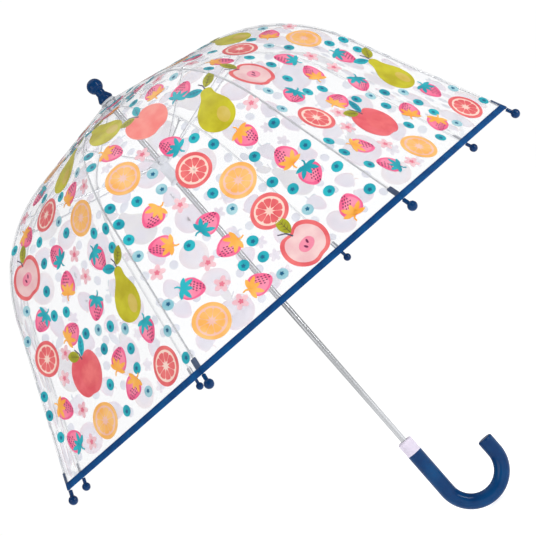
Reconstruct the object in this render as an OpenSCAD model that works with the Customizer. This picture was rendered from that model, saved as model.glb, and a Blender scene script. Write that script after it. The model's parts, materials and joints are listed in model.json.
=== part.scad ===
/* [Canopy] */
// Distance from the shaft's axis to the hem, at a rib
hem_r = 340; // [320:1:350]
// Fall of the top of the canopy, in degrees below horizontal
top_fall = 13.3; // [10:0.1:16]
// Fall of the skirt, in degrees below horizontal
skirt_fall = 65.2; // [60:0.1:70]
// Radius of the shoulder between the top and the skirt
shoulder_r = 184; // [170:1:195]
// Distance from the axis at which the shoulder starts
top_r = 134.5; // [120:0.5:145]
// Thickness of the clear film
film_t = 0.3; // [0.25:0.05:0.5]
// Height of the hem binding
hem_h = 7.5; // [6:0.5:10]
// Height of the canopy's top above the middle of the grip
apex_z = 566.5; // [560:0.5:580]

/* [Frame] */
// Radius of each rib wire
rib_r = 1.2; // [1:0.05:1.25]
// Radius of each stretcher wire
stretcher_r = 1.1; // [0.9:0.05:1.2]
// Outer radius of the shaft tube
shaft_r = 3.75; // [3.5:0.05:4]
// Wall of the shaft tube
shaft_wall = 0.6; // [0.5:0.1:0.8]
// Distance of the hinge wires from the axis
wire_ring_r = 12; // [12:0.5:13]
// Radius of the hinge wires
wire_r = 0.6; // [0.5:0.05:0.65]
// Depth of the crown's hinge wire below the canopy's top
crown_drop = 8.5; // [8:0.1:9]
// Place of the stretcher's rivet along the shoulder, in degrees from its start
rivet_at = 14.9; // [12:0.1:18]
// Sideways distance of a stretcher from its rib
stretcher_side = 2.8; // [2.6:0.1:3]

/* [Handle] */
// Radius of the handle's tube
grip_r = 9.3; // [8.5:0.1:9.3]
// Length of the straight grip
grip_l = 58; // [50:0.5:62]
// Radius of the hook, to the middle of its tube
hook_r = 35.5; // [32:0.5:38]
// Straight length at the hook's free end
hook_end_l = 18; // [12:0.5:24]
// Height of the collar above the grip
collar_h = 18; // [16:0.5:24]

/* [Tips] */
// Radius of the ball on top
finial_r = 9.4; // [8:0.1:10]
// Radius of the ball on each rib's end
tip_r = 5.25; // [4.5:0.05:6]
// Distance from the hem to the middle of a rib's ball
tip_out = 11.5; // [10:0.5:13]

/* [Hidden] */
$fn = 48;
rib_count = 8;
rib_pitch = 360 / rib_count;
// Direction of the first rib, seen from above
rib_turn = 27.5;
half_gore = rib_pitch / 2;
// Straight fold edges lie this much nearer the axis in the middle of a gore
mid_share = cos(half_gore);
// The rib wire's axis lies this far inside the canopy's outer face
rib_drop = 2.4;
// The stretcher's rivet hangs a little lower, under its rib
rivet_drop = 3.2;
// Clearance of each ball's socket round its rib's end
socket_gap = 0.05;
// The catches stand out on the far side of the shaft, a quarter turn from the hook's plane
catch_turn = -90;
navy = [0.08, 0.24, 0.45];
steel = [0.75, 0.76, 0.78];

// The canopy's outline, in a rib's plane, with its top at [0, 0]
shoulder_mid = [top_r - shoulder_r * sin(top_fall),
                -top_r * tan(top_fall) - shoulder_r * cos(top_fall)];
function on_shoulder(lean, out = 0) =
    shoulder_mid + (shoulder_r + out) * [sin(lean), cos(lean)];
skirt_dir = [cos(skirt_fall), -sin(skirt_fall)];
skirt_out = [sin(skirt_fall), cos(skirt_fall)];
skirt_top = on_shoulder(skirt_fall);
skirt_l = (hem_r - skirt_top[0]) / skirt_dir[0];
function on_skirt(along, out = 0) = skirt_top + along * skirt_dir + out * skirt_out;
function on_top(r, out = 0) = [r, -r * tan(top_fall) + out / cos(top_fall)];
outline_steps = 12;
function canopy_line(out, along) = concat(
    [on_top(0, out)],
    [for (i = [0:outline_steps])
        on_shoulder(top_fall + (skirt_fall - top_fall) * i / outline_steps, out)],
    [on_skirt(along, out)]);
function backward(points) = [for (i = [len(points) - 1:-1:0]) points[i]];

// The rib frame's pivots, in a rib's plane
crown_pivot = [wire_ring_r, -crown_drop];
rivet_pivot = on_shoulder(top_fall + rivet_at, -rivet_drop);
flex_lean = (top_fall + skirt_fall) / 2;
flex_pivot = on_shoulder(flex_lean, -rib_drop);
runner_pivot_z = 2 * rivet_pivot[1] - crown_pivot[1];
inner_straight_end = on_shoulder(top_fall, -rib_drop);

eye_t = 2;
eye_r = 1.9;
eye_hole_r = wire_r + 0.4;
rivet_r = 0.7;
rivet_hole_r = rivet_r + 0.08;
lap_r = 1.5;
lap_gap = 0.1;
slot_w = 3.2;
hub_r = 16;
hub_core_r = 9.3;
hub_top = -4.9;
hub_h = 9;
runner_flange_h = 8;
runner_sleeve_r = 6.6;
runner_l = 34;
runner_bore_r = shaft_r + 0.3;
grip_top = grip_l / 2;
hook_z = -grip_l / 2;
shaft_top = 14;
shaft_in_handle = 30;
catch_l = 12;
catch_w = 2.4;
pin_r = 0.8;
window_low = 7;
window_h = 14;
// How far the ribs turn at the crown when the canopy folds
fold_turn = 70;

// The runner's travel, and the catches that hold it at both ends
link_l = norm(rivet_pivot - crown_pivot);
link_fall = atan2(crown_pivot[1] - rivet_pivot[1], rivet_pivot[0] - crown_pivot[0]);
runner_travel = runner_pivot_z - crown_pivot[1] + 2 * link_l * sin(link_fall + fold_turn);
runner_low = runner_pivot_z + runner_flange_h / 2 - runner_l;
upper_catch_z = runner_low - 0.4;
lower_catch_z = runner_low - runner_travel + window_low + window_h - 1;
stop_pin_z = runner_pivot_z + runner_flange_h / 2 + pin_r + 0.5;

module at_rib(i) {
    rotate([0, 0, rib_turn + rib_pitch * (i - 1)]) translate([0, 0, apex_z]) children();
}
// Puts a flat outline of a rib's plane, or a solid turned about Z, upright in that plane
module upright() { rotate([90, 0, 0]) children(); }
// A wire between two points of a rib's plane
module wire(a, b, r, side = 0) {
    d = b - a;
    translate([a[0], side, a[1]]) rotate([0, 90 - atan2(d[1], d[0]), 0])
        cylinder(h = norm(d), r = r, $fn = 24);
}
module knob(a, r, side = 0) { translate([a[0], side, a[1]]) sphere(r = r, $fn = 24); }
// A disc or a bore across a rib's plane, from one side to the other
module across(a, r, low, high) {
    translate([a[0], low, a[1]]) rotate([-90, 0, 0]) cylinder(h = high - low, r = r, $fn = 32);
}
// The rib wire's bend, between two leans of the shoulder
module rib_bend(from, to) {
    translate([shoulder_mid[0], 0, shoulder_mid[1]]) upright() rotate([0, 0, 90 - to])
        rotate_extrude(angle = to - from, $fn = 180)
            translate([shoulder_r - rib_drop, 0]) circle(r = rib_r, $fn = 24);
}
// A flat web at the lap joint, on the hem's side of the pivot (way 1) or on the crown's (way -1)
module lap(lean, way, low, high) {
    across(flex_pivot, lap_r, low, high);
    translate([flex_pivot[0], low, flex_pivot[1]]) rotate([0, lean, 0])
        translate([way > 0 ? 0 : -3.4, 0, -rib_r]) cube([3.4, high - low, 2 * rib_r]);
}
lap_lean_step = asin(2.6 / (shoulder_r - rib_drop));

module shaft_tube() {
    low = grip_top - shaft_in_handle;
    height = apex_z + shaft_top - low;
    color(steel) difference() {
        translate([0, 0, low]) cylinder(h = height, r = shaft_r);
        translate([0, 0, low - 1]) cylinder(h = height + 2, r = shaft_r - shaft_wall);
        translate([0, 0, apex_z + stop_pin_z]) cross_pin(pin_r, 4 * shaft_r);
        for (top_z = [upper_catch_z, lower_catch_z]) rotate([0, 0, catch_turn])
            translate([-2 * shaft_r, -catch_w / 2 - 0.2, apex_z + top_z - catch_l - 0.3])
                cube([2 * shaft_r - 1, catch_w + 0.4, catch_l + 0.6]);
    }
}
module handle() {
    end_round = 2.5;
    end_corner = [grip_r - end_round, hook_end_l - end_round];
    color(navy) difference() {
        union() {
            translate([0, 0, hook_z]) cylinder(h = grip_l, r = grip_r, $fn = 64);
            translate([hook_r, 0, hook_z]) upright() rotate([0, 0, 180])
                rotate_extrude(angle = 180, $fn = 96)
                    translate([hook_r, 0]) circle(r = grip_r, $fn = 64);
            translate([2 * hook_r, 0, hook_z]) rotate_extrude($fn = 64) polygon(concat(
                [[0, 0], [grip_r, 0]],
                [for (turn = [0:15:90]) end_corner + end_round * [cos(turn), sin(turn)]],
                [[0, hook_end_l]]));
        }
        translate([0, 0, grip_top - shaft_in_handle])
            cylinder(h = shaft_in_handle + 1, r = shaft_r);
    }
}
module handle_collar() {
    color([0.92, 0.9, 0.94]) translate([0, 0, grip_top]) difference() {
        rotate_extrude($fn = 64) polygon([
            [0, 0], [grip_r, 0], [grip_r, collar_h - 1.5], [grip_r - 1.5, collar_h], [0, collar_h]]);
        translate([0, 0, -1]) cylinder(h = collar_h + 2, r = shaft_r);
    }
}
module finial() {
    base_r = 9.2;
    neck_r = 5.6;
    base_z = 0.9;
    ball_z = 22;
    color(navy) translate([0, 0, apex_z]) difference() {
        union() {
            translate([0, 0, ball_z]) sphere(r = finial_r, $fn = 64);
            rotate_extrude($fn = 64) polygon([
                [0, base_z], [base_r - 1, base_z], [base_r, base_z + 1.2], [base_r, base_z + 3],
                [neck_r + 1.2, base_z + 7.6], [neck_r, base_z + 9.6], [neck_r, ball_z - 6], [0, ball_z]]);
        }
        cylinder(h = shaft_top + 0.2, r = shaft_r);
    }
}
module canopy_washer() {
    washer_r = 10;
    color("lightgrey") translate([0, 0, apex_z]) rotate_extrude($fn = 64) polygon([
        [shaft_r + 0.05, on_top(shaft_r, 0.15)[1]], [washer_r, on_top(washer_r, 0.15)[1]],
        [washer_r, on_top(washer_r, 0.85)[1]], [shaft_r + 4, 0.9], [shaft_r + 0.05, 0.9]]);
}
// A slotted hub round the shaft, open above and below at each slot
module slotted_hub(height, bore_r, side) {
    difference() {
        cylinder(h = height, r = hub_r, $fn = 64);
        translate([0, 0, -1]) cylinder(h = height + 2, r = bore_r);
        for (i = [0:rib_count - 1]) rotate([0, 0, rib_turn + rib_pitch * i])
            translate([hub_core_r, side - slot_w / 2, -1]) cube([hub_r, slot_w, height + 2]);
    }
}
module wire_ring(r) {
    rotate_extrude($fn = 96) translate([wire_ring_r, 0]) circle(r = r, $fn = 24);
}
module crown_hub() {
    color("white") translate([0, 0, apex_z]) difference() {
        translate([0, 0, hub_top - hub_h]) slotted_hub(hub_h, shaft_r, 0);
        translate([0, 0, -crown_drop]) wire_ring(wire_r + 0.02);
    }
}
module crown_wire() {
    color(steel) translate([0, 0, apex_z - crown_drop]) wire_ring(wire_r);
}
// A leaf spring that stands out of the shaft's slot
module catch_spring(top_z) {
    stand_out = shaft_r + 2.6;
    outer_x = shaft_r - shaft_wall - 0.3;
    inner_x = outer_x - 0.6;
    tail = 3;
    color(steel) rotate([0, 0, catch_turn]) translate([0, catch_w / 2, apex_z + top_z])
        upright() linear_extrude(height = catch_w)
        polygon([[-inner_x, tail], [-outer_x, tail], [-outer_x, -0.1], [-stand_out, -0.6],
                 [-stand_out, -2], [-outer_x, -catch_l], [-outer_x, -catch_l - tail],
                 [-inner_x, -catch_l - tail]]);
}
module upper_catch_spring() { catch_spring(upper_catch_z); }
module lower_catch_spring() { catch_spring(lower_catch_z); }
module cross_pin(r, l) { rotate([0, 90, 0]) translate([0, 0, -l / 2]) cylinder(h = l, r = r, $fn = 24); }
module stop_pin() { color(steel) translate([0, 0, apex_z + stop_pin_z]) cross_pin(pin_r, 12); }
module runner() {
    ring_r = 8.6;
    color("white") translate([0, 0, apex_z + runner_pivot_z]) difference() {
        union() {
            translate([0, 0, -runner_flange_h / 2])
                slotted_hub(runner_flange_h, runner_bore_r, stretcher_side);
            translate([0, 0, runner_flange_h / 2 - runner_l]) rotate_extrude($fn = 64) polygon([
                [runner_bore_r, 0], [ring_r - 1, 0], [ring_r, 1], [ring_r, 3], [ring_r - 1, 4],
                [runner_sleeve_r, 5], [runner_sleeve_r, runner_l - 2], [runner_bore_r, runner_l - 2]]);
        }
        wire_ring(wire_r + 0.02);
        rotate([0, 0, catch_turn])
            translate([-hub_r, -catch_w / 2 - 0.4, runner_flange_h / 2 - runner_l + window_low])
                cube([hub_r, catch_w + 0.8, window_h]);
    }
}
// The runner's wire shows in the fins only: each slot leaves its stretcher's eye free to pass
module runner_wire() {
    color(steel) translate([0, 0, apex_z + runner_pivot_z]) difference() {
        wire_ring(wire_r);
        for (i = [0:rib_count - 1]) rotate([0, 0, rib_turn + rib_pitch * i])
            translate([hub_core_r, stretcher_side - slot_w / 2, -3]) cube([hub_r, slot_w, 6]);
    }
}
module rib_upper(i) {
    color(steel) at_rib(i) {
        difference() {
            union() {
                across(crown_pivot, eye_r, -eye_t / 2, eye_t / 2);
                wire(crown_pivot, inner_straight_end, rib_r - 0.2);
                knob(inner_straight_end, rib_r);
                rib_bend(top_fall, flex_lean - lap_lean_step);
                lap(flex_lean, -1, -rib_r, -lap_gap);
            }
            across(crown_pivot, eye_hole_r, -eye_t, eye_t);
        }
        across(flex_pivot, rivet_r - 0.1, -rib_r, rib_r + 0.5);
        across(rivet_pivot, rivet_r, 0, stretcher_side + stretcher_r + 0.6);
        across(rivet_pivot, rib_r + 0.7, -0.8, 0.8);
    }
}
module rib_lower(i) {
    color(steel) at_rib(i) {
        difference() {
            lap(flex_lean, 1, lap_gap, rib_r);
            across(flex_pivot, rivet_hole_r - 0.1, -eye_t, eye_t);
        }
        difference() {
            rib_bend(flex_lean + lap_lean_step, skirt_fall);
            across(flex_pivot, rivet_hole_r, -eye_t, eye_t);
        }
        wire(on_skirt(0, -rib_drop), on_skirt(skirt_l + tip_out - 1, -rib_drop), rib_r);
    }
}
module stretcher(i) {
    inner = [wire_ring_r, runner_pivot_z];
    color(steel) at_rib(i) difference() {
        union() {
            wire(inner, rivet_pivot, stretcher_r, stretcher_side);
            across(inner, eye_r, stretcher_side - eye_t / 2, stretcher_side + eye_t / 2);
            across(rivet_pivot, eye_r, stretcher_side - stretcher_r, stretcher_side + stretcher_r);
        }
        across(inner, eye_hole_r, 0, 2 * stretcher_side);
        across(rivet_pivot, rivet_hole_r, 0, 2 * stretcher_side);
    }
}
module rib_tip(i) {
    neck_r = 2.2;
    color(navy) at_rib(i) difference() {
        union() {
            knob(on_skirt(skirt_l + tip_out, -rib_drop), tip_r);
            wire(on_skirt(skirt_l + 0.4, -rib_drop), on_skirt(skirt_l + tip_out, -rib_drop), neck_r);
        }
        wire(on_skirt(skirt_l - 1, -rib_drop), on_skirt(skirt_l + tip_out - 1, -rib_drop),
             rib_r + socket_gap);
    }
}
// A band of straight stuff between two outlines, cut to one gore after its left rib
module gore(outline) {
    reach = hem_r + 40;
    rotate([0, 0, rib_turn]) intersection() {
        rotate([0, 0, half_gore]) translate([0, reach, 0]) upright() linear_extrude(height = 2 * reach)
            polygon([for (p = outline) [p[0] * mid_share, p[1]]]);
        translate([0, 0, -reach]) linear_extrude(height = 2 * reach)
            polygon([[0, 0], 2 * reach * [1, 0], 2 * reach * [cos(rib_pitch), sin(rib_pitch)]]);
    }
}
module canopy_panel(i) {
    color([0.85, 0.9, 0.92], 0.5) translate([0, 0, apex_z]) difference() {
        rotate([0, 0, rib_pitch * (i - 1)])
            gore(concat(canopy_line(0, skirt_l - hem_h), backward(canopy_line(-film_t, skirt_l - hem_h))));
        translate([0, 0, -20]) cylinder(h = 40, r = shaft_r + 0.1);
    }
}
module hem_binding() {
    out = 0.4;
    in = -0.8;
    color(navy) translate([0, 0, apex_z]) for (i = [1:rib_count]) rotate([0, 0, rib_pitch * (i - 1)])
        gore([on_skirt(skirt_l - hem_h, out), on_skirt(skirt_l, out),
              on_skirt(skirt_l, in), on_skirt(skirt_l - hem_h, in)]);
}
module tip_pockets() {
    pocket_w = 6;
    pocket_l = 11;
    pocket_t = 0.6;
    color("slategrey") translate([0, 0, apex_z]) for (i = [1:rib_count]) intersection() {
        rotate([0, 0, rib_turn + rib_pitch * (i - 1)])
            translate([0, -pocket_w / 2, -hem_r - 40]) cube([hem_r + 40, pocket_w, hem_r]);
        for (side = [-2, -1]) rotate([0, 0, rib_pitch * (i + side)])
            gore([on_skirt(skirt_l - hem_h - pocket_l, 0), on_skirt(skirt_l - hem_h, 0),
                  on_skirt(skirt_l - hem_h, pocket_t), on_skirt(skirt_l - hem_h - pocket_l, pocket_t)]);
    }
}

shaft_tube();
handle();
handle_collar();
finial();
canopy_washer();
crown_hub();
crown_wire();
upper_catch_spring();
lower_catch_spring();
stop_pin();
runner();
runner_wire();
rib_upper(1);  // rib_upper_1
rib_upper(2);  // rib_upper_2
rib_upper(3);  // rib_upper_3
rib_upper(4);  // rib_upper_4
rib_upper(5);  // rib_upper_5
rib_upper(6);  // rib_upper_6
rib_upper(7);  // rib_upper_7
rib_upper(8);  // rib_upper_8
rib_lower(1);  // rib_lower_1
rib_lower(2);  // rib_lower_2
rib_lower(3);  // rib_lower_3
rib_lower(4);  // rib_lower_4
rib_lower(5);  // rib_lower_5
rib_lower(6);  // rib_lower_6
rib_lower(7);  // rib_lower_7
rib_lower(8);  // rib_lower_8
stretcher(1);  // stretcher_1
stretcher(2);  // stretcher_2
stretcher(3);  // stretcher_3
stretcher(4);  // stretcher_4
stretcher(5);  // stretcher_5
stretcher(6);  // stretcher_6
stretcher(7);  // stretcher_7
stretcher(8);  // stretcher_8
rib_tip(1);  // rib_tip_1
rib_tip(2);  // rib_tip_2
rib_tip(3);  // rib_tip_3
rib_tip(4);  // rib_tip_4
rib_tip(5);  // rib_tip_5
rib_tip(6);  // rib_tip_6
rib_tip(7);  // rib_tip_7
rib_tip(8);  // rib_tip_8
canopy_panel(1);  // canopy_panel_1
canopy_panel(2);  // canopy_panel_2
canopy_panel(3);  // canopy_panel_3
canopy_panel(4);  // canopy_panel_4
canopy_panel(5);  // canopy_panel_5
canopy_panel(6);  // canopy_panel_6
canopy_panel(7);  // canopy_panel_7
canopy_panel(8);  // canopy_panel_8
hem_binding();
tip_pockets();
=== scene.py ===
"""The looks of a children's dome umbrella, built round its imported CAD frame. Lengths are in metres."""

import itertools
import json
import math

import bmesh
import bpy
import numpy as np
from mathutils import Matrix, Vector


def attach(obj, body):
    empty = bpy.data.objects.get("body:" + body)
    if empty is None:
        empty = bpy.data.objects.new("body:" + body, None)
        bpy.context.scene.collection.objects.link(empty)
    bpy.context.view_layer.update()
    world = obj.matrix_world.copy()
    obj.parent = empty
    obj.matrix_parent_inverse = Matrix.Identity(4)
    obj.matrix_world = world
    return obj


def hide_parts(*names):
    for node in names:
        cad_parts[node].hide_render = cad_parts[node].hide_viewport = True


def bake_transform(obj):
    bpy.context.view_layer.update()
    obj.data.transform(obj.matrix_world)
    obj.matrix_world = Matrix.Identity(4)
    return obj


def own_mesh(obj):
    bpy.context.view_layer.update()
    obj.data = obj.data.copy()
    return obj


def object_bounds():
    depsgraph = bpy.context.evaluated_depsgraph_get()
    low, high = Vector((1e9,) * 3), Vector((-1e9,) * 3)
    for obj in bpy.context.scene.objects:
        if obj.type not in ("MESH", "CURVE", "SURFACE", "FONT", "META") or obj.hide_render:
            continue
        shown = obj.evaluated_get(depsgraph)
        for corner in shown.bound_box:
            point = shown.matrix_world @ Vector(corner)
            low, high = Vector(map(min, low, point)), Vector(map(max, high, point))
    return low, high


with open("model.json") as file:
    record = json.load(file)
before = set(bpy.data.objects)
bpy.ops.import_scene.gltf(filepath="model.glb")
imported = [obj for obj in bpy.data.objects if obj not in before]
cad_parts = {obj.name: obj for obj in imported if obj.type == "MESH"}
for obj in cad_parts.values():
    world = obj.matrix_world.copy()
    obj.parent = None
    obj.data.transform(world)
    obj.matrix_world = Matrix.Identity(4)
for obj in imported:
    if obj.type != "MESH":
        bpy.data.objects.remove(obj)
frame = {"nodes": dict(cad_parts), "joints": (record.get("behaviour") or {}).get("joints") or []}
CAD_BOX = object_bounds()
JOINTS = {j["name"]: j for j in frame["joints"]}
NODES = frame["nodes"]
MM = 0.001

# ---------------------------------------------------------------- sizes, as in the CAD
RIBS = 8
PITCH = math.tau / RIBS
FIRST_HINGE = JOINTS["rib_fold_1"]["pos_m"]
FIRST_RIB = math.atan2(FIRST_HINGE[1], FIRST_HINGE[0])
CROWN_DROP = 8.5 * MM
APEX_Z = FIRST_HINGE[2] + CROWN_DROP
TOP_FALL, SKIRT_FALL = math.radians(13.3), math.radians(65.2)
TOP_R, SHOULDER_R, HEM_R = 134.5 * MM, 184 * MM, 340 * MM
SHAFT_R = 3.75 * MM
HEM_H = 7.5 * MM
RIB_DROP = 2.4 * MM
RIB_R = 0.9 * MM
TIP_OUT = 11.5 * MM

SHOULDER_MID = (
    TOP_R - SHOULDER_R * math.sin(TOP_FALL),
    -TOP_R * math.tan(TOP_FALL) - SHOULDER_R * math.cos(TOP_FALL),
)
SKIRT_TOP = (
    SHOULDER_MID[0] + SHOULDER_R * math.sin(SKIRT_FALL),
    SHOULDER_MID[1] + SHOULDER_R * math.cos(SKIRT_FALL),
)
TOP_L = TOP_R / math.cos(TOP_FALL)
BEND_L = SHOULDER_R * (SKIRT_FALL - TOP_FALL)
SKIRT_L = (HEM_R - SKIRT_TOP[0]) / math.cos(SKIRT_FALL)
HEM_V = TOP_L + BEND_L + SKIRT_L
FLEX_V = TOP_L + BEND_L / 2


def outline(v, out=0.0):
    """Distance from the axis and height under the top, at v along a rib and out metres outside the film."""
    if v < TOP_L:
        lean, r, z = TOP_FALL, v * math.cos(TOP_FALL), -v * math.sin(TOP_FALL)
    elif v < TOP_L + BEND_L:
        lean = TOP_FALL + (v - TOP_L) / SHOULDER_R
        r = SHOULDER_MID[0] + SHOULDER_R * math.sin(lean)
        z = SHOULDER_MID[1] + SHOULDER_R * math.cos(lean)
    else:
        past = v - TOP_L - BEND_L
        lean = SKIRT_FALL
        r = SKIRT_TOP[0] + past * math.cos(SKIRT_FALL)
        z = SKIRT_TOP[1] - past * math.sin(SKIRT_FALL)
    return r + out * math.sin(lean), z + out * math.cos(lean)


def rib_azimuth(i):
    return FIRST_RIB + PITCH * (i - 1)


def radial(azimuth):
    return Vector((math.cos(azimuth), math.sin(azimuth), 0))


def tangent(azimuth):
    return Vector((-math.sin(azimuth), math.cos(azimuth), 0))


def in_rib_plane(i, r, z, side=0.0):
    a = rib_azimuth(i)
    return radial(a) * r + tangent(a) * side + Vector((0, 0, APEX_Z + z))


def gore_half_width(v):
    return outline(v)[0] * math.sin(PITCH / 2)


SAG = 3.2 * MM
SAG_START_V = 0.02
RIPPLE = 0.35 * MM


def on_gore(gore, u, v, out=0.0):
    """The point at u across and v down a gore, which sags a little between its ribs.

    A gore has the number of the rib that it starts at.
    """
    r, z = outline(v, out)
    edge = max(gore_half_width(v), 1e-6)
    share = min(abs(u) / edge, 1.0)
    pull = math.sin(math.pi * min(max((v - SAG_START_V) / (HEM_V - SAG_START_V), 0), 1)) ** 0.7
    ripple = RIPPLE * math.sin(v * 95 + gore * 1.7) * math.sin(u * 60 + gore) * (1 - share**4)
    inward = SAG * pull * (1 - share**2) * min(edge / 0.12, 1) - ripple * pull
    mid = rib_azimuth(gore) + PITCH / 2
    lean = TOP_FALL + (SKIRT_FALL - TOP_FALL) * min(max((v - TOP_L) / BEND_L, 0), 1)
    x = r * math.cos(PITCH / 2) - inward * math.sin(lean)
    return radial(mid) * x + tangent(mid) * u + Vector((0, 0, APEX_Z + z - inward * math.cos(lean)))


# ---------------------------------------------------------------- node materials
def srgb(r, g, b):
    """A colour from its 0 to 255 display values."""
    return tuple(((c / 255 + 0.055) / 1.055) ** 2.4 if c > 10 else c / 255 / 12.92 for c in (r, g, b))


class Shader:
    """A Principled material and short ways to add nodes to it."""

    def __init__(self, name, colour, roughness=0.5, **values):
        self.material = bpy.data.materials.new(name)
        self.material.use_nodes = True
        self.nodes = self.material.node_tree.nodes
        self.links = self.material.node_tree.links
        self.bsdf = self.nodes["Principled BSDF"]
        self.bsdf.inputs["Base Color"].default_value = (*colour, 1)
        self.bsdf.inputs["Roughness"].default_value = roughness
        for key, value in values.items():
            self.bsdf.inputs[key.replace("_", " ")].default_value = value
        self.place = self.nodes.new("ShaderNodeTexCoord").outputs["Object"]

    def noise(self, scale, detail=4.0, roughness=0.5, stretch=(1, 1, 1)):
        mapping = self.nodes.new("ShaderNodeMapping")
        mapping.inputs["Scale"].default_value = stretch
        self.links.new(self.place, mapping.inputs["Vector"])
        noise = self.nodes.new("ShaderNodeTexNoise")
        noise.inputs["Scale"].default_value = scale
        noise.inputs["Detail"].default_value = detail
        noise.inputs["Roughness"].default_value = roughness
        self.links.new(mapping.outputs["Vector"], noise.inputs["Vector"])
        return noise.outputs["Fac"]

    def ramp(self, factor, stops):
        ramp = self.nodes.new("ShaderNodeValToRGB")
        ramp.color_ramp.elements[0].position, ramp.color_ramp.elements[1].position = stops[0][0], stops[-1][0]
        for at, _ in stops[1:-1]:
            ramp.color_ramp.elements.new(at)
        for element, (_, colour) in zip(ramp.color_ramp.elements, stops):
            element.color = (*colour, 1) if len(colour) == 3 else colour
        self.links.new(factor, ramp.inputs["Fac"])
        return ramp.outputs["Color"]

    def spread(self, factor, low, high):
        span = self.nodes.new("ShaderNodeMapRange")
        span.inputs["From Min"].default_value, span.inputs["From Max"].default_value = 0.3, 0.7
        span.inputs["To Min"].default_value, span.inputs["To Max"].default_value = low, high
        self.links.new(factor, span.inputs["Value"])
        return span.outputs["Result"]

    def to(self, socket, output):
        self.links.new(output, self.bsdf.inputs[socket])
        return self

    def bump(self, height, strength, distance):
        bump = self.nodes.new("ShaderNodeBump")
        bump.inputs["Strength"].default_value = strength
        bump.inputs["Distance"].default_value = distance
        self.links.new(height, bump.inputs["Height"])
        self.links.new(bump.outputs["Normal"], self.bsdf.inputs["Normal"])
        return self


def moulded(name, dark, light, roughness):
    """Glossy moulded plastic, with faint flow marks and fine scuffs."""
    s = Shader(name, light, roughness, Specular_IOR_Level=0.16)
    s.to("Base Color", s.ramp(s.noise(38, 3), [(0.35, dark), (0.68, light)]))
    s.to("Roughness", s.spread(s.noise(420, 6), roughness * 0.75, roughness * 1.35))
    return s.bump(s.noise(160, 2), 0.03, 0.0002).material


def metal(name, dark, light, roughness, stretch):
    """Drawn metal, with fine lines along its length."""
    s = Shader(name, light, roughness, Metallic=1.0)
    s.to("Base Color", s.ramp(s.noise(300, 5, stretch=stretch), [(0.3, dark), (0.7, light)]))
    s.to("Roughness", s.spread(s.noise(900, 4, stretch=stretch), roughness * 0.7, roughness * 1.4))
    return s.bump(s.noise(1400, 3, stretch=stretch), 0.06, 0.0002).material


def woven(name, dark, light, threads):
    """Tightly woven tape: two crossed thread waves, worn a little paler in places."""
    s = Shader(name, light, 0.62, Specular_IOR_Level=0.15)
    tint = s.ramp(s.noise(70, 5), [(0.3, dark), (0.72, light)])
    s.to("Base Color", tint)
    weave = s.nodes.new("ShaderNodeMath")
    weave.operation = "MULTIPLY"
    for k, way in enumerate(("DIAGONAL", "Z")):
        wave = s.nodes.new("ShaderNodeTexWave")
        wave.bands_direction = way
        wave.inputs["Scale"].default_value = threads
        wave.inputs["Distortion"].default_value = 0.6
        s.links.new(s.place, wave.inputs["Vector"])
        s.links.new(wave.outputs["Fac"], weave.inputs[k])
    s.to("Roughness", s.spread(s.noise(500, 4), 0.5, 0.75))
    return s.bump(weave.outputs["Value"], 0.35, 0.0003).material


def film_material(name, thin, thick, tint):
    """Hazy clear film: it looks denser where it turns away, and it has soft waves and a little haze."""
    s = Shader(name, tint, 0.12, Alpha=thin, IOR=1.46, Coat_Weight=0.3, Coat_Roughness=0.05)
    s.to("Base Color", s.ramp(s.noise(9, 3), [(0.3, tuple(c * 0.97 for c in tint)), (0.7, tint)]))
    s.to("Roughness", s.spread(s.noise(60, 4), 0.08, 0.2))
    facing = s.nodes.new("ShaderNodeLayerWeight")
    facing.inputs["Blend"].default_value = 0.25
    density = s.nodes.new("ShaderNodeMapRange")
    density.inputs["To Min"].default_value, density.inputs["To Max"].default_value = thin, thick
    s.links.new(facing.outputs["Facing"], density.inputs["Value"])
    s.to("Alpha", density.outputs["Result"])
    return s.bump(s.noise(24, 2), 0.05, 0.0006).material


def ink(name, dark, light, alpha=1.0):
    """Printed ink with the soft blotches of a brush."""
    s = Shader(name, light, 0.42, Alpha=alpha, Coat_Weight=0.25, Coat_Roughness=0.12)
    s.to("Base Color", s.ramp(s.noise(55, 4), [(0.36, dark), (0.64, light)]))
    s.to("Roughness", s.spread(s.noise(240, 4), 0.34, 0.5))
    return s.bump(s.noise(700, 3), 0.08, 0.0002).material


INKS = {
    "berry": ((248, 112, 152), (253, 146, 174)),
    "berry_deep": ((240, 88, 138), (248, 108, 152)),
    "seed": ((96, 24, 66), (126, 38, 84)),
    "leaf_orange": ((250, 166, 52), (255, 190, 92)),
    "teal": ((0, 150, 168), (26, 182, 194)),
    "teal_dark": ((0, 88, 128), (0, 112, 148)),
    "pear": ((182, 170, 0), (204, 196, 28)),
    "pear_blush": ((204, 176, 60), (214, 190, 96)),
    "coral": ((248, 124, 118), (252, 150, 138)),
    "apple": ((226, 82, 94), (238, 112, 118)),
    "rim": ((226, 88, 96), (240, 116, 116)),
    "pith": ((250, 208, 194), (252, 222, 208)),
    "flesh": ((236, 186, 190), (244, 208, 206)),
    "core": ((238, 120, 152), (244, 150, 172)),
    "orange": ((248, 176, 84), (252, 196, 120)),
    "orange_pith": ((240, 184, 166), (244, 200, 186)),
    "petal": ((236, 178, 190), (244, 204, 210)),
    "petal_heart": ((224, 100, 128), (236, 130, 150)),
    "leaf_olive": ((152, 152, 10), (180, 178, 30)),
    "vein": ((96, 84, 24), (116, 100, 40)),
    "stem": ((70, 66, 86), (98, 90, 106)),
    "berry_pale": ((132, 190, 204), (170, 212, 220)),
}
INK_NAMES = list(INKS)
INK_MATERIALS = [ink("ink_" + n, srgb(*INKS[n][0]), srgb(*INKS[n][1])) for n in INK_NAMES]
UNDERBASE = ink("ink_underbase", srgb(234, 230, 242), srgb(242, 240, 248), alpha=0.7)
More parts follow.
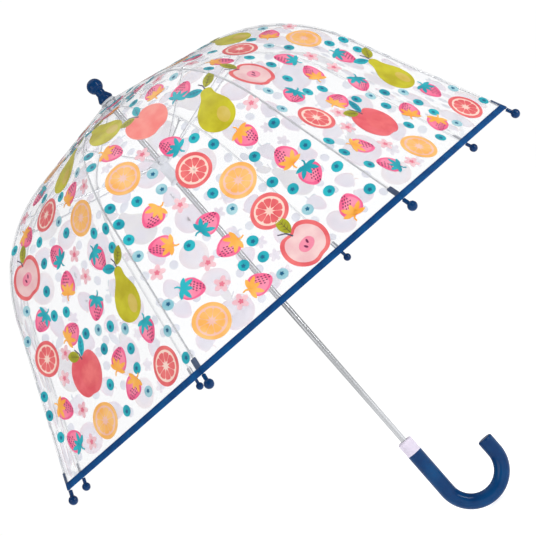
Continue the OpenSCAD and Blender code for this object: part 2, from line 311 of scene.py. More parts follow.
FILM = film_material("film_clear", 0.2, 0.55, (0.86, 0.87, 0.89))
SEAM = film_material("film_seam", 0.3, 0.7, (0.74, 0.75, 0.78))
NAVY = moulded("plastic_navy", srgb(0, 48, 96), srgb(0, 66, 116), 0.12)
NAVY_KNOB = moulded("plastic_navy_knob", srgb(0, 40, 86), srgb(0, 56, 104), 0.12)
COLLAR = moulded("plastic_collar", srgb(216, 208, 224), srgb(229, 222, 235), 0.3)
PALE = moulded("plastic_pale", srgb(206, 209, 215), srgb(222, 224, 229), 0.35)
SHAFT_METAL = metal("steel_shaft", (0.36, 0.37, 0.38), (0.54, 0.55, 0.57), 0.18, (1, 1, 0.03))
RIB_METAL = metal("steel_rib", (0.50, 0.51, 0.53), (0.68, 0.69, 0.71), 0.3, (1, 1, 0.2))
WIRE_METAL = metal("steel_wire", (0.52, 0.53, 0.55), (0.70, 0.71, 0.73), 0.22, (1, 1, 1))
TAPE = woven("tape_navy", srgb(0, 56, 112), srgb(0, 82, 142), 2600)
TAPE_SLATE = woven("tape_slate", srgb(62, 74, 98), srgb(88, 101, 128), 2600)
THREAD = woven("thread_navy", srgb(0, 36, 92), srgb(6, 62, 124), 5200)


# ---------------------------------------------------------------- mesh helpers
def make_object(name, verts, faces, materials, indices=None, smooth=True):
    mesh = bpy.data.meshes.new(name)
    mesh.from_pydata([tuple(v) for v in verts], [], faces)
    for m in materials:
        mesh.materials.append(m)
    if indices is not None:
        mesh.polygons.foreach_set("material_index", indices)
    mesh.polygons.foreach_set("use_smooth", [smooth] * len(mesh.polygons))
    mesh.update()
    obj = bpy.data.objects.new(name, mesh)
    bpy.context.scene.collection.objects.link(obj)
    return obj


class Builder:
    """Vertices, faces and a material number for each face."""

    def __init__(self):
        self.verts, self.faces, self.inks = [], [], []

    def add(self, verts, faces, index=0):
        base = len(self.verts)
        self.verts += [Vector(v) for v in verts]
        self.faces += [tuple(base + k for k in f) for f in faces]
        self.inks += [index] * len(faces)

    def make(self, name, materials, smooth=True):
        return make_object(name, self.verts, self.faces, materials, self.inks, smooth)


def tube(points, radii, sides=12, across=None):
    """Rings round a path that lies in one plane; across is that plane's normal."""
    points = [Vector(p) for p in points]
    verts, faces = [], []
    for k, p in enumerate(points):
        way = (points[min(k + 1, len(points) - 1)] - points[max(k - 1, 0)]).normalized()
        side = Vector(across).normalized()
        up = way.cross(side).normalized()
        for n in range(sides):
            a = math.tau * n / sides
            verts.append(p + (side * math.cos(a) + up * math.sin(a)) * radii[k])
    for k in range(len(points) - 1):
        for n in range(sides):
            m = (n + 1) % sides
            faces.append((k * sides + n, k * sides + m, (k + 1) * sides + m, (k + 1) * sides + n))
    faces.append(tuple(range(sides - 1, -1, -1)))
    last = (len(points) - 1) * sides
    faces.append(tuple(last + n for n in range(sides)))
    return verts, faces


def lathe(profile, sides, place):
    """A closed solid of revolution from (radius, height) pairs that start and end on the axis."""
    verts, faces = [place(0, profile[0][1], 0)], []
    for r, h in profile[1:-1]:
        verts += [place(r, h, math.tau * n / sides) for n in range(sides)]
    verts.append(place(0, profile[-1][1], 0))
    rows = len(profile) - 2
    for n in range(sides):
        m = (n + 1) % sides
        faces.append((0, 1 + m, 1 + n))
        for k in range(rows - 1):
            a, b = 1 + k * sides, 1 + (k + 1) * sides
            faces.append((a + n, a + m, b + m, b + n))
        end = 1 + (rows - 1) * sides
        faces.append((end + n, end + m, len(verts) - 1))
    return verts, faces


def paint(node, material, angle=35):
    """A carried-over CAD node gets its material, and smooth shading between its sharp edges."""
    mesh = NODES[node].data
    mesh.materials.clear()
    mesh.materials.append(material)
    mesh.polygons.foreach_set("use_smooth", [True] * len(mesh.polygons))
    mesh.set_sharp_from_angle(angle=math.radians(angle))


# Places on the rib for the top's film and the skirt's film
TOP_ANCHOR_V, SKIRT_ANCHOR_V = 0.1, 0.45


def fold_with(obj, i, side, upper):
    """Gives a piece on one side of rib i a mesh of its own."""
    v, lean = (TOP_ANCHOR_V, TOP_FALL) if upper else (SKIRT_ANCHOR_V, SKIRT_FALL)
    in_rib_plane(i, *outline(v))
    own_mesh(obj)


# ---------------------------------------------------------------- the canopy's film
FILM_V = np.concatenate([
    np.linspace(SHAFT_R / math.cos(PITCH / 2), TOP_L, 14)[:-1],
    np.linspace(TOP_L, TOP_L + BEND_L, 25)[:-1],
    np.linspace(TOP_L + BEND_L, HEM_V - HEM_H + 1.5 * MM, 22),
])
ACROSS = 12
SEAM_HALF = 1.2 * MM


def film_rows(low_v, high_v):
    rows = [float(v) for v in FILM_V if low_v - 1e-9 <= v <= high_v + 1e-9]
    return rows


def film_half(i, side, rows, name):
    """Film from rib i to the middle of the gore on one side of it, with its seam's strip."""
    gore = i - 1 if side < 0 else i
    verts = []
    for v in rows:
        edge = gore_half_width(v)
        seam = max(1 - SEAM_HALF / edge, 0.9)
        shares = [seam * k / ACROSS for k in range(ACROSS + 1)] + [1.0]
        verts += [on_gore(gore, -side * share * edge, v) for share in shares]
    n = ACROSS + 2
    faces, indices = [], []
    for a in range(len(rows) - 1):
        for b in range(n - 1):
            quad = (a * n + b, a * n + b + 1, (a + 1) * n + b + 1, (a + 1) * n + b)
            faces.append(quad if side < 0 else quad[::-1])
            indices.append(1 if b == ACROSS else 0)
    return make_object(name, verts, faces, [FILM, SEAM], indices)


def sheet_size(rows):
    """The flat width and length of half a gore's film, and its area."""
    widths = [gore_half_width(v) for v in rows]
    area = sum((a + b) / 2 * (q - p) for a, b, p, q in zip(widths, widths[1:], rows, rows[1:]))
    return max(widths), rows[-1] - rows[0], area


# -------------------------------------------------------- the print's motifs, drawn flat in millimetres
def closed(x, y, n=28):
    """An outline from two functions of an angle that starts at the top."""
    return [(x(math.tau * k / n), y(math.tau * k / n)) for k in range(n)]


def polar(radius, n=36, centre=(0, 0), squash=1.0):
    return [
        (centre[0] + radius(math.tau * k / n) * math.sin(math.tau * k / n),
         centre[1] + squash * radius(math.tau * k / n) * math.cos(math.tau * k / n))
        for k in range(n)
    ]


def ellipse(cx, cy, rx, ry, n=14, turn=0.0):
    c, s = math.cos(math.radians(turn)), math.sin(math.radians(turn))
    flat = [(rx * math.sin(math.tau * k / n), ry * math.cos(math.tau * k / n)) for k in range(n)]
    return [(cx + x * c + y * s, cy - x * s + y * c) for x, y in flat]


def turned(points, degrees, cx=0.0, cy=0.0):
    c, s = math.cos(math.radians(degrees)), math.sin(math.radians(degrees))
    return [(cx + x * c + y * s, cy - x * s + y * c) for x, y in points]


def leaf_shape(w, h):
    return closed(lambda t: w * math.sin(t) * abs(math.sin(t)) ** 0.55, lambda t: h + h * math.cos(t), 22)


def strip(points, width, tip=0.3):
    """A thin tapering stroke along points, as a list of quads."""
    rows = []
    for k, (x, y) in enumerate(points):
        ax, ay = points[max(k - 1, 0)]
        bx, by = points[min(k + 1, len(points) - 1)]
        length = math.hypot(bx - ax, by - ay)
        nx, ny = -(by - ay) / length, (bx - ax) / length
        half = width / 2 * (1 - (1 - tip) * k / (len(points) - 1))
        rows.append(((x + nx * half, y + ny * half), (x - nx * half, y - ny * half)))
    return [[a[0], b[0], b[1], a[1]] for a, b in zip(rows, rows[1:])]


def leaf(colour, cx, cy, w, h, turn):
    """A leaf whose stalk end is at cx, cy, with a midrib and side veins."""
    dark = "teal_dark" if colour == "teal" else "vein"
    shapes = [(colour, 1, turned(leaf_shape(w, h), turn, cx, cy))]
    lines = [[(0, 0.1 * h), (0, h), (0, 1.8 * h)]]
    for k in (0.5, 0.85, 1.2):
        lines += [[(0, k * h), (0.3 * w, (k + 0.14) * h), (0.6 * w, (k + 0.22) * h)],
                  [(0, k * h), (-0.3 * w, (k + 0.14) * h), (-0.6 * w, (k + 0.22) * h)]]
    for line in lines:
        shapes += [(dark, 2, q) for q in strip(turned(line, turn, cx, cy), 0.8)]
    return shapes


def calyx(colour, cx, cy, size, turn):
    """Five pointed sepals and a short stalk."""
    sepals = [(-86, 0.8), (-46, 1.0), (-4, 0.8), (40, 1.05), (82, 0.85)]
    shapes = [(colour, 3, turned(leaf_shape(size * 0.17, size * long / 2), 180 + way + turn, cx, cy))
              for way, long in sepals]
    shapes.append((colour, 3, ellipse(cx, cy - size * 0.12, size * 0.3, size * 0.22, turn=turn)))
    stalk = turned([(0, 0), (size * 0.1, size * 0.3), (size * 0.02, size * 0.52)], turn, cx, cy)
    return shapes + [(colour, 3, q) for q in strip(stalk, size * 0.16, 0.6)]


def strawberry(colour):
    body = closed(lambda t: 11.8 * math.sin(t) * (1 + 0.26 * math.cos(t)), lambda t: 13.4 * math.cos(t), 30)
    blush = closed(
        lambda t: -1.5 + 8.6 * math.sin(t) * (1 + 0.3 * math.cos(t)),
        lambda t: 1 + 10 * math.cos(t),
        24,
    )
    shapes = [("berry_deep", 0, body), ("berry", 1, blush)]
    for row, count in enumerate((3, 4, 4, 3, 2)):
        for k in range(count):
            y = 2.6 - 3.4 * row
            x = 7.6 - 2.6 * k - 0.9 * row + 0.5 * (row % 2)
            shapes.append(("seed", 2, ellipse(x, y, 0.72, 1.05, 8, 20)))
    return shapes + calyx(colour, 0, 11.4, 14.5, 0)


def citrus(rim, pith, size=20.0):
    wobble = polar(lambda a: size * (1 + 0.025 * math.sin(2 * a + 1) + 0.015 * math.sin(3 * a)), 40)
    inner = polar(lambda a: size * 0.8 * (1 + 0.02 * math.sin(2 * a + 1)), 36)
    shapes = [(rim, 0, wobble), (pith, 1, inner)]
    segments = 9
    right_edge = [(0, 0.16), (0.1, 0.3), (0.2, 0.58), (0.16, 0.67), (0, 0.7)]
    wedge = right_edge + [(-x, y) for x, y in right_edge[-2:0:-1]]
    for k in range(segments):
        way = 360 * k / segments
        shapes.append((rim, 2, turned([(x * size, y * size) for x, y in wedge], way)))
    return shapes


def pear_half_width(y):
    """A round belly and a round neck, joined by a soft waist."""
    if y < -5:
        return math.sqrt(max(20.5**2 - (y + 12) ** 2, 0))
    if y > 20:
        return math.sqrt(max(7.5**2 - (y - 20) ** 2, 0))
    s = (y + 5) / 25
    return 7.5 + 11.8 * (1 - s) ** 2 * (1 + 2 * s)


def pear():
    body = closed(
        lambda t: math.copysign(pear_half_width(30 * math.cos(t) - 2.5), math.sin(t)),
        lambda t: 30 * math.cos(t) - 2.5,
        48,
    )
    blush = closed(lambda t: 7 + 7 * math.sin(t), lambda t: -15 + 10 * math.cos(t), 20)
    shapes = [("pear", 0, body), ("pear_blush", 1, blush)]
    stem = [(0, 27), (-1, 33), (-5, 38)]
    shapes += [("stem", 2, q) for q in strip(stem, 1.6, 0.8)]
    shapes += leaf("leaf_olive", 1, 29, 6.5, 10.5, 38)
    shapes += leaf("teal", -3, 27, 5.2, 10.5, -74)
    return shapes


def apple_shape(size):
    """A round apple with a deep dip at its stalk and a small one at its foot."""
    def radius(a):
        from_top = min(a, math.tau - a)
        top_dip = 0.27 * math.exp(-((from_top / 0.36) ** 2))
        foot_dip = 0.1 * math.exp(-(((math.pi - from_top) / 0.3) ** 2))
        return size * (1 - top_dip - foot_dip + 0.05 * math.cos(a))

    return radius


def apple(colour):
    shapes = [(colour, 0, polar(apple_shape(25), 44, squash=1.05))]
    shapes.append(("rim" if colour == "apple" else "coral", 1, polar(apple_shape(15), 30, (5, -2))))
    shapes += [("stem", 2, q) for q in strip([(0, 17), (-2, 24), (-7, 31)], 1.7, 0.8)]
    return shapes + leaf("teal", 1, 20, 5, 11.5, 22) + leaf("leaf_olive", -3, 21, 6, 9.5, -66)


def half_apple():
    shapes = [("rim", 0, polar(apple_shape(25), 44, squash=1.03))]
    shapes.append(("flesh", 1, polar(apple_shape(20.5), 40, squash=1.03)))
    shapes.append(("core", 2, polar(lambda a: 8 * (1 - 0.14 * math.cos(2 * a)), 20, (0, -1))))
    shapes.append(("seed", 3, ellipse(-2.4, -2, 1.2, 2.6, 10, -14)))
    shapes.append(("seed", 3, ellipse(2.8, 0.6, 1.2, 2.6, 10, 24)))
    shapes += [("stem", 2, q) for q in strip([(0, 16), (-2, 24), (-8, 30)], 1.7, 0.8)]
    return shapes + leaf("leaf_olive", 1.5, 20, 6.4, 11.5, 12)


def blueberry(colour="teal"):
    star = polar(lambda a: 1.5 + 1.0 * abs(math.cos(2.5 * a)), 20, (0.6, 0.4))
    return [(colour, 0, ellipse(0, 0, 6.0, 6.3, 18)), ("teal_dark", 1, star)]


def flower():
    shapes = [("petal", 0, turned(ellipse(0, 5.0, 2.9, 4.2, 12), 72 * k)) for k in range(5)]
    shapes.append(("petal_heart", 1, polar(lambda a: 1.8 + 1.4 * abs(math.cos(2.5 * a)), 20)))
    return shapes


MOTIFS = {
    "strawberry_orange": strawberry("leaf_orange"),
    "strawberry_teal": strawberry("teal"),
    "citrus_pink": citrus("rim", "pith"),
    "citrus_orange": citrus("orange", "orange_pith"),
    "pear": pear(),
    "coral_apple": apple("coral"),
    "apple": apple("apple"),
    "half_apple": half_apple(),
    "blueberry": blueberry(),
    "blueberry_pale": blueberry("berry_pale"),
    "flower": flower(),
}

# How much room each motif takes round its middle, in millimetres
REACH = {
    "pear": 32, "coral_apple": 29, "apple": 29, "half_apple": 29, "citrus_pink": 22, "citrus_orange": 22,
    "strawberry_orange": 16, "strawberry_teal": 16, "blueberry": 6, "blueberry_pale": 6, "flower": 9,
}
UPRIGHT = ("pear", "coral_apple", "apple", "half_apple")
# The fruit of each gore, row by row from the apex to the hem and from left to right
BROAD_ROWS = [
    ["strawberry_teal"],
    ["strawberry_orange", "strawberry_teal"],
    ["pear", "strawberry_orange"],
    ["strawberry_orange", "coral_apple", "strawberry_teal"],
    ["citrus_orange", "strawberry_teal", "pear"],
    ["strawberry_orange", "citrus_pink", "strawberry_orange"],
    ["strawberry_orange", "strawberry_teal", "citrus_orange", "strawberry_orange"],
    ["strawberry_teal", "strawberry_orange", "citrus_pink", "strawberry_teal"],
    ["citrus_orange", "strawberry_orange", "half_apple", "strawberry_orange"],
]
SLIM_ROWS = [
    ["strawberry_orange"],
    ["citrus_orange", "strawberry_teal"],
    ["strawberry_teal", "pear"],
    ["strawberry_orange", "citrus_pink", "strawberry_orange"],
    ["half_apple", "strawberry_teal", "citrus_orange"],
    ["strawberry_teal", "strawberry_orange", "strawberry_teal"],
    ["citrus_pink", "strawberry_orange", "strawberry_teal", "pear"],
    ["strawberry_orange", "apple", "strawberry_orange", "strawberry_teal"],
    ["strawberry_teal", "citrus_orange", "strawberry_orange", "citrus_pink"],
]
FILLERS = ["blueberry", "blueberry", "flower", "blueberry", "blueberry_pale"]
FIRST_ROW, LAST_ROW, FIRST_FILLER = 85, 465, 60
END_ROOM = 15
ROW_STAGGER = 8
GAP, FILLER_GAP, FILLER_STEP = 3, 9, 7
SEAM_SHARE = 0.85
SETTLE_STEPS, PUSH = 80, 0.4
UPRIGHT_LEAN, GOLDEN_TURN = 18, 137.5


def side_limit(kind, v):
    """How far from the gore's middle a motif can sit, v millimetres down the gore."""
    return max(gore_half_width(v * MM) / MM - SEAM_SHARE * REACH[kind], 0)


def settle(placed):
    """Pushes motifs that are too close apart, a little at a time, and holds them in the gore."""
    for _ in range(SETTLE_STEPS):
        for a, b in itertools.combinations(placed, 2):
            dx, dy = b["x"] - a["x"], b["y"] - a["y"]
            apart = max(math.hypot(dx, dy), 1)
            short = REACH[a["kind"]] + REACH[b["kind"]] + GAP - apart
            if short > 0:
                for one, way in ((a, -1), (b, 1)):
                    one["x"] += way * dx / apart * short * PUSH
                    one["y"] += way * dy / apart * short * PUSH
        for one in placed:
            one["y"] = min(max(one["y"], FIRST_ROW - END_ROOM), LAST_ROW)
            limit = side_limit(one["kind"], one["y"])
            one["x"] = min(max(one["x"], -limit), limit)


def fill_gaps(placed):
    """Puts berries and blossoms wherever the fruit leaves room, on a staggered grid."""
    count = 0
    for row, y in enumerate(range(FIRST_FILLER, LAST_ROW + END_ROOM, FILLER_STEP)):
        widest = int(gore_half_width(y * MM) / MM)
        for x in range(-widest + FILLER_STEP * (row % 3 + 1), widest, 2 * FILLER_STEP):
            kind = FILLERS[count % len(FILLERS)]
            clear = all(
                math.hypot(one["x"] - x, one["y"] - y)
                > REACH[one["kind"]] + REACH[kind] + (FILLER_GAP if one["kind"] in FILLERS else 0)
                for one in placed
            )
            if clear and abs(x) < side_limit(kind, y):
                placed.append({"kind": kind, "x": x, "y": y, "turn": GOLDEN_TURN * count})
                count += 1


def arrange(rows):
    """One gore's print: each row's fruit spread over its width, then settled, and the gaps filled."""
    placed = []
    for k, row in enumerate(rows):
        y = FIRST_ROW + (LAST_ROW - FIRST_ROW) * k / (len(rows) - 1)
        for n, kind in enumerate(row):
            share = (2 * n + 1) / len(row) - 1
            lean = UPRIGHT_LEAN * math.sin(2 * len(placed)) if kind in UPRIGHT else GOLDEN_TURN * len(placed)
            stagger = ROW_STAGGER if (n + k) % 2 else -ROW_STAGGER
            x = share * side_limit("flower", y)
            placed.append({"kind": kind, "x": x, "y": y + stagger, "turn": lean})
    settle(placed)
    fill_gaps(placed)
    return placed


DETAIL_INKS = ("seed", "vein", "pith", "orange_pith", "core", "teal_dark")


def print_bmesh(layout, silhouette):
    """All of one gore's motifs, flat: x across, y down the gore, z the ink's layer."""
    flat = bmesh.new()
    for one in layout:
        for colour, layer, points in MOTIFS[one["kind"]]:
            if silhouette and colour in DETAIL_INKS and layer:
                continue
            lift = 0 if silhouette else layer
            index = 0 if silhouette else INK_NAMES.index(colour)
            outline_points = [(one["x"] + x, one["y"] - y) for x, y in turned(points, one["turn"])]
            fill(flat, outline_points, lift, index)
    return flat


def fill(flat, points, lift, index):
    """Fills an outline with rings that shrink to its middle, so that it can follow a curved gore."""
    if len(points) == 4:
        made = [flat.verts.new((x, y, lift)) for x, y in points]
        flat.faces.new(made).material_index = index
        return
    mx, my = (sum(p[k] for p in points) / len(points) for k in (0, 1))
    reach = max(math.hypot(x - mx, y - my) for x, y in points)
    rings = max(1, round(reach / 6))
    last = None
    for k in range(rings, 0, -1):
        size = k / rings
        ring = [flat.verts.new((mx + (x - mx) * size, my + (y - my) * size, lift)) for x, y in points]
        if last:
            for a in range(len(ring)):
                b = (a + 1) % len(ring)
                flat.faces.new((last[a], last[b], ring[b], ring[a])).material_index = index
        last = ring
    middle = flat.verts.new((mx, my, lift))
    for a in range(len(last)):
        flat.faces.new((last[a], last[(a + 1) % len(last)], middle)).material_index = index


def cut(flat, point, normal):
    """Keeps what lies against the normal."""
    parts = flat.verts[:] + flat.edges[:] + flat.faces[:]
    bmesh.ops.bisect_plane(flat, geom=parts, plane_co=point, plane_no=normal, clear_outer=True)


def trim_to_gore(flat):
    """Cuts the print at the gore's seams, whose flat edges curve over the shoulder, and at the hem."""
    margin = 1.2
    stops = [0.0] + [(TOP_L + BEND_L * k / 7) / MM for k in range(8)] + [HEM_V / MM]
    for a, b in zip(stops, stops[1:]):
        wa, wb = (gore_half_width(s * MM) / MM - margin for s in (a, b))
        length = math.hypot(b - a, wb - wa)
        for side in (-1, 1):
            cut(flat, (side * wa, a, 0), (side * (b - a) / length, -(wb - wa) / length, 0))
    cut(flat, (0, (HEM_V - HEM_H) / MM - 0.5, 0), (0, 1, 0))


def print_quarter(flat, side, upper):
    """The half of the print on one side of the gore's middle, above or below the shoulder's flex."""
    part = flat.copy()
    cut(part, (0, 0, 0), (-side, 0, 0))
    cut(part, (0, FLEX_V / MM, 0), (0, 1 if upper else -1, 0))
    part.verts.index_update()
    verts = [tuple(v.co) for v in part.verts]
    faces = [tuple(v.index for v in f.verts) for f in part.faces]
    inks = [f.material_index for f in part.faces]
    part.free()
    return verts, faces, inks


PRINT_LIFT = 0.16 * MM
LAYER = 0.07 * MM
UNDER_DROP = -0.16 * MM


def printed_layouts():
    """{(layout, silhouette, side, upper): its flat verts, faces and inks}."""
    parts = {}
    for name, layout in (("slim", arrange(SLIM_ROWS)), ("broad", arrange(BROAD_ROWS))):
        for silhouette in (False, True):
            flat = print_bmesh(layout, silhouette)
            trim_to_gore(flat)
            for side in (-1, 1):
                for upper in (True, False):
                    parts[name, silhouette, side, upper] = print_quarter(flat, side, upper)
            flat.free()
    return parts


def print_piece(i, side, upper, silhouette, parts, name):
    """The ink on one side of rib i, which has the gore before it on one side and its own on the other."""
    gore = i - 1 if side < 0 else i
    layout = "broad" if gore % 2 == BROAD_PARITY else "slim"
    verts, faces, inks = parts[layout, silhouette, -side, upper]
    base = UNDER_DROP if silhouette else PRINT_LIFT
    placed = [on_gore(gore, x * MM, y * MM, base + z * LAYER) for x, y, z in verts]
    return make_object(name, placed, faces, [UNDERBASE] if silhouette else INK_MATERIALS, inks)


# The gore whose middle faces the camera, between the ribs on either side of -85 degrees, is a broad one
FRONT_GORE = round((math.radians(-85) - PITCH / 2 - FIRST_RIB) % math.tau / PITCH) + 1
BROAD_PARITY = FRONT_GORE % 2


# ---------------------------------------------------------------- hem, ribs and tips
HEM_OUT, HEM_IN = 0.75 * MM, -0.95 * MM


def hem_section(u_share, gore, side):
    """The folded tape's rounded cross-section at a place along the hem."""
    v_top, v_low = HEM_V - HEM_H, HEM_V + 0.3 * MM
    ring = []
    for v, out in (
        (v_top, 0.15 * MM), (v_top + 0.3 * MM, HEM_OUT * 0.9), (v_top + 2.2 * MM, HEM_OUT),
        (v_low - 2.2 * MM, HEM_OUT * 1.1), (v_low - 0.5 * MM, HEM_OUT * 0.85), (v_low, 0),
        (v_low - 0.5 * MM, HEM_IN * 0.85), (v_low - 2.2 * MM, HEM_IN), (v_top + 0.3 * MM, HEM_IN * 0.9),
        (v_top, -0.15 * MM),
    ):
        ring.append(on_gore(gore, side * u_share * gore_half_width(v), v, out))
    return ring


def hem_piece(i, side, name):
    build, steps = Builder(), 14
    gore = i - 1 if side < 0 else i
    rings = [hem_section(k / steps, gore, -side) for k in range(steps + 1)]
    if side > 0:
        rings.reverse()
    n = len(rings[0])
    verts = [p for ring in rings for p in ring]
    faces = [(k * n + a, k * n + (a + 1) % n, (k + 1) * n + (a + 1) % n, (k + 1) * n + a)
             for k in range(len(rings) - 1) for a in range(n)]
    faces += [tuple(range(n - 1, -1, -1)), tuple((len(rings) - 1) * n + a for a in range(n))]
    build.add(verts, faces)
    stitches(build, gore, side)
    return build.make(name, [TAPE, THREAD])


STITCH, STITCH_GAP = 2.6 * MM, 1.0 * MM


def stitches(build, gore, side):
    """One row of lockstitches along the tape's upper edge, each a small raised grain of thread."""
    v = HEM_V - HEM_H + 1.5 * MM
    out = radial(rib_azimuth(gore) + PITCH / 2)
    for k in range(int((gore_half_width(v) - 4 * MM) / (STITCH + STITCH_GAP))):
        u = -side * (1 * MM + k * (STITCH + STITCH_GAP))
        a = on_gore(gore, u, v, HEM_OUT * 0.98)
        b = on_gore(gore, u - side * STITCH, v, HEM_OUT * 0.98)
        path = [a.lerp(b, t) + out * 0.12 * MM * math.sin(math.pi * t) for t in (0, 0.3, 0.7, 1)]
        build.add(*tube(path, [0.08 * MM, 0.24 * MM, 0.24 * MM, 0.08 * MM], 5, (0, 0, 1)), 1)


def pocket_piece(i):
    """The small slate tape that holds a rib's end, tucked under the hem's upper edge."""
    build = Builder()
    rows = [HEM_V - HEM_H - 11 * MM + k * 12.5 * MM / 7 for k in range(8)]
    half = 3.1 * MM
    verts = []
    for layer in (0.72 * MM, 0.2 * MM):
        for k, v in enumerate(rows):
            thin = 0.85 if k in (0, len(rows) - 1) else 1.0
            for x in (-1, -0.5, 0, 0.5, 1):
                r, z = outline(v, layer * thin)
                inset = abs(x) * half * math.tan(PITCH / 2) * 0.9
                verts.append(in_rib_plane(i, r - inset, z, x * half * thin))
    n, m = 5, len(rows)
    faces = []
    for layer in (0, 1):
        base = layer * n * m
        for a in range(m - 1):
            for b in range(n - 1):
                near, far = base + a * n + b, base + (a + 1) * n + b
                quad = (near, near + 1, far + 1, far)
                faces.append(quad if layer == 0 else quad[::-1])
    rim = [a * n for a in range(m)] + [(m - 1) * n + b for b in range(1, n)]
    rim += [a * n + n - 1 for a in range(m - 2, -1, -1)] + list(range(n - 2, 0, -1))
    for a, b in zip(rim, rim[1:] + rim[:1]):
        faces.append((a, a + n * m, b + n * m, b))
    build.add(verts, faces)
    obj = build.make(f"tip_pocket_{i}", [TAPE_SLATE])
    bevel = obj.modifiers.new("round", "BEVEL")
    bevel.width, bevel.segments, bevel.limit_method = 0.2 * MM, 2, "ANGLE"
    return obj


def rib_piece(i):
    """One spring rib from the crown's wire to its ball, a little thinner at its inner end."""
    start = JOINTS[f"rib_fold_{i}"]["pos_m"]
    bend_start = in_rib_plane(i, *outline(TOP_L, -RIB_DROP))
    inner = [Vector(start).lerp(bend_start, t) for t in np.linspace(0.02, 1, 12)]
    outer_places = np.linspace(TOP_L + 3 * MM, HEM_V + TIP_OUT - 2 * MM, 64)
    rest = [in_rib_plane(i, *outline(v, -RIB_DROP)) for v in outer_places]
    path = inner + rest
    build = Builder()
    radii = [RIB_R * (0.8 if k < 2 else 1) for k in range(len(path))]
    build.add(*tube(path, radii, 10, tangent(rib_azimuth(i))))
    obj = build.make(f"rib_{i}", [RIB_METAL])
    flex = Vector(JOINTS[f"rib_flex_{i}"]["pos_m"])
    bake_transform(obj)
    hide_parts(f"rib_lower_{i}")
    return obj


def ring_solid(place, ring_r, tube_r, sides=20, around=10):
    verts, faces = [], []
    for k in range(sides):
        a = math.tau * k / sides
        for n in range(around):
            b = math.tau * n / around
            r = ring_r + tube_r * math.cos(b)
            verts.append(place(r * math.cos(a), r * math.sin(a), tube_r * math.sin(b)))
    for k in range(sides):
        for n in range(around):
            p, q = k * around, (k + 1) % sides * around
            m = (n + 1) % around
            faces.append((p + n, q + n, q + m, p + m))
    return verts, faces


def rib_fittings(i):
    """The rib's inner eye, and the riveted clip that its stretcher turns on."""
    build = Builder()
    side = tangent(rib_azimuth(i))
    out = radial(rib_azimuth(i))
    eye = Vector(JOINTS[f"rib_fold_{i}"]["pos_m"])
    build.add(*ring_solid(lambda x, y, z: eye + out * x + Vector((0, 0, y)) + side * z, 1.35 * MM, 0.5 * MM))
    rivet = Vector(JOINTS[f"stretcher_fold_{i}"]["pos_m"])
    along = (in_rib_plane(i, *outline(0.186)) - in_rib_plane(i, *outline(0.176))).normalized()
    up = along.cross(side).normalized()
    clip = [rivet + along * t for t in np.linspace(-4.5 * MM, 4.5 * MM, 9)]
    build.add(*tube(clip, [1.25 * MM, 1.75 * MM] + [1.85 * MM] * 5 + [1.75 * MM, 1.25 * MM], 14, side))
    pin_mm = [(0, 0.2), (1.5, 0.2), (1.5, 1.1), (0.7, 1.2), (0.7, 4.1)]
    pin_mm += [(1.3, 4.2), (1.2, 4.8), (0.6, 5.1), (0, 5.15)]
    pin = [(r * MM, h * MM) for r, h in pin_mm]

    def place(r, h, a):
        return rivet + along * r * math.cos(a) + up * r * math.sin(a) + side * h

    build.add(*lathe(pin, 14, place))
    obj = build.make(f"rib_fittings_{i}", [WIRE_METAL])
    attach(obj, f"rib_upper_{i}")
    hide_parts(f"rib_upper_{i}")
    return obj


def canopy_half(i, side, hand, upper, rows, parts):
    """The top's or the skirt's film on one side of a rib, with its print and its hem."""
    zone, body = ("top", f"rib_upper_{i}") if upper else ("skirt", f"rib_lower_{i}")
    film = film_half(i, side, rows, f"film_{zone}_{i}{hand}")
    on_it = [
        print_piece(i, side, upper, False, parts, f"print_{zone}_{i}{hand}"),
        print_piece(i, side, upper, True, parts, f"underprint_{zone}_{i}{hand}"),
    ]
    if upper and side > 0:
        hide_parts(f"canopy_panel_{i}")
    if not upper:
        hem = hem_piece(i, side, f"hem_tape_{i}{hand}")
        if i == 1 and side > 0:
            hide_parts("hem_binding")
        on_it.append(hem)
    for obj in [film] + on_it:
        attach(obj, body)
        fold_with(obj, i, side, upper)
    width, length, area = sheet_size(rows)


def build_canopy():
    upper_rows = film_rows(0, TOP_L + BEND_L / 2)
    lower_rows = film_rows(TOP_L + BEND_L / 2, HEM_V)
    parts = printed_layouts()
    for i in range(1, RIBS + 1):
        pocket = pocket_piece(i)
        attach(pocket, f"rib_lower_{i}")
        if i == 1:
            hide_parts("tip_pockets")
        for side, hand in ((-1, "a"), (1, "b")):
            canopy_half(i, side, hand, True, upper_rows, parts)
            canopy_half(i, side, hand, False, lower_rows, parts)
        rib_piece(i)
        rib_fittings(i)


# ---------------------------------------------------------------- carried-over nodes
def paint_frame():
    paint("shaft_tube", SHAFT_METAL)
    paint("handle", NAVY, 60)
    paint("handle_collar", COLLAR)
    paint("finial", NAVY_KNOB, 40)
    paint("canopy_washer", PALE)
    paint("crown_hub", PALE)
    paint("runner", PALE)
    for node in ("crown_wire", "runner_wire", "upper_catch_spring", "lower_catch_spring", "stop_pin"):
        paint(node, WIRE_METAL)
    for i in range(1, RIBS + 1):
        paint(f"stretcher_{i}", WIRE_METAL)
        paint(f"rib_tip_{i}", NAVY_KNOB, 40)


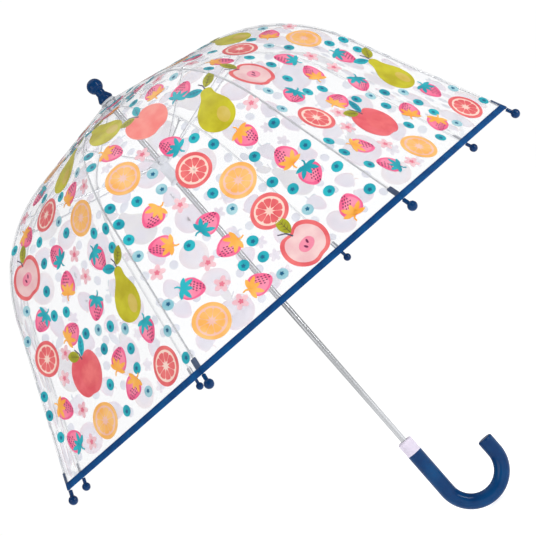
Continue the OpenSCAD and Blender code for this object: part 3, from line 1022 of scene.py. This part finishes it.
# ---------------------------------------------------------------- stage, light and camera
def build_stage():
    size = 14.0
    low = CAD_BOX[0].z - 0.002
    verts = [(-size, -size, low), (size, -size, low), (size, size, low), (-size, size, low)]
    floor = make_object("floor", verts, [(0, 1, 2, 3)], [])
    s = Shader("floor_pale", (0.94, 0.94, 0.94), 0.9, Emission_Color=(1, 1, 1, 1), Emission_Strength=0.68)
    s.to("Base Color", s.ramp(s.noise(2, 2), [(0.3, (0.93, 0.93, 0.93)), (0.7, (0.95, 0.95, 0.95))]))
    floor.data.materials.append(s.material)
    world = bpy.data.worlds.new("studio")
    bpy.context.scene.world = world
    world.use_nodes = True
    nodes, links = world.node_tree.nodes, world.node_tree.links
    backdrop = nodes["Background"]
    backdrop.inputs["Color"].default_value = (1, 1, 1, 1)
    light_path = nodes.new("ShaderNodeLightPath")
    strength = nodes.new("ShaderNodeMapRange")
    strength.inputs["To Min"].default_value, strength.inputs["To Max"].default_value = 0.36, 1.02
    links.new(light_path.outputs["Is Camera Ray"], strength.inputs["Value"])
    links.new(strength.outputs["Result"], backdrop.inputs["Strength"])


def area_light(name, place, target, size, power):
    data = bpy.data.lights.new(name, "AREA")
    data.shape, data.size, data.size_y, data.energy = "RECTANGLE", size[0], size[1], power
    light = bpy.data.objects.new(name, data)
    light.location = place
    light.rotation_mode = "QUATERNION"
    light.rotation_quaternion = (Vector(target) - Vector(place)).to_track_quat("-Z", "Y")
    bpy.context.scene.collection.objects.link(light)


def build_lights():
    middle = (0, 0, 0.3)
    area_light("key", (1.9, -1.5, 0.9), middle, (0.35, 1.5), 22)
    area_light("fill", (-1.8, -1.7, 1.0), middle, (1.6, 1.6), 16)
    area_light("overhead", (0.1, 0.3, 3.2), middle, (3.0, 3.0), 26)


def build_camera():
    """The camera looks along +Y, rolled so that the shaft runs down to the right."""
    data = bpy.data.cameras.new("camera")
    data.lens, data.sensor_width = 114.6, 36
    data.clip_start, data.clip_end = 0.05, 60
    camera = bpy.data.objects.new("camera", data)
    camera.location = (0.0112, -1.964, 0.2615)
    pitch, yaw, roll = math.radians(1.1), math.radians(0.05), math.radians(41.14)
    aim = Matrix.Rotation(-yaw, 4, "Z") @ Matrix.Rotation(math.pi / 2 + pitch, 4, "X")
    turn = aim @ Matrix.Rotation(-roll, 4, "Z")
    camera.rotation_mode = "QUATERNION"
    camera.rotation_quaternion = turn.to_quaternion()
    bpy.context.scene.collection.objects.link(camera)
    bpy.context.scene.camera = camera


build_camera()
build_stage()
build_lights()
paint_frame()
build_canopy()
bpy.context.scene.view_settings.view_transform = "Standard"
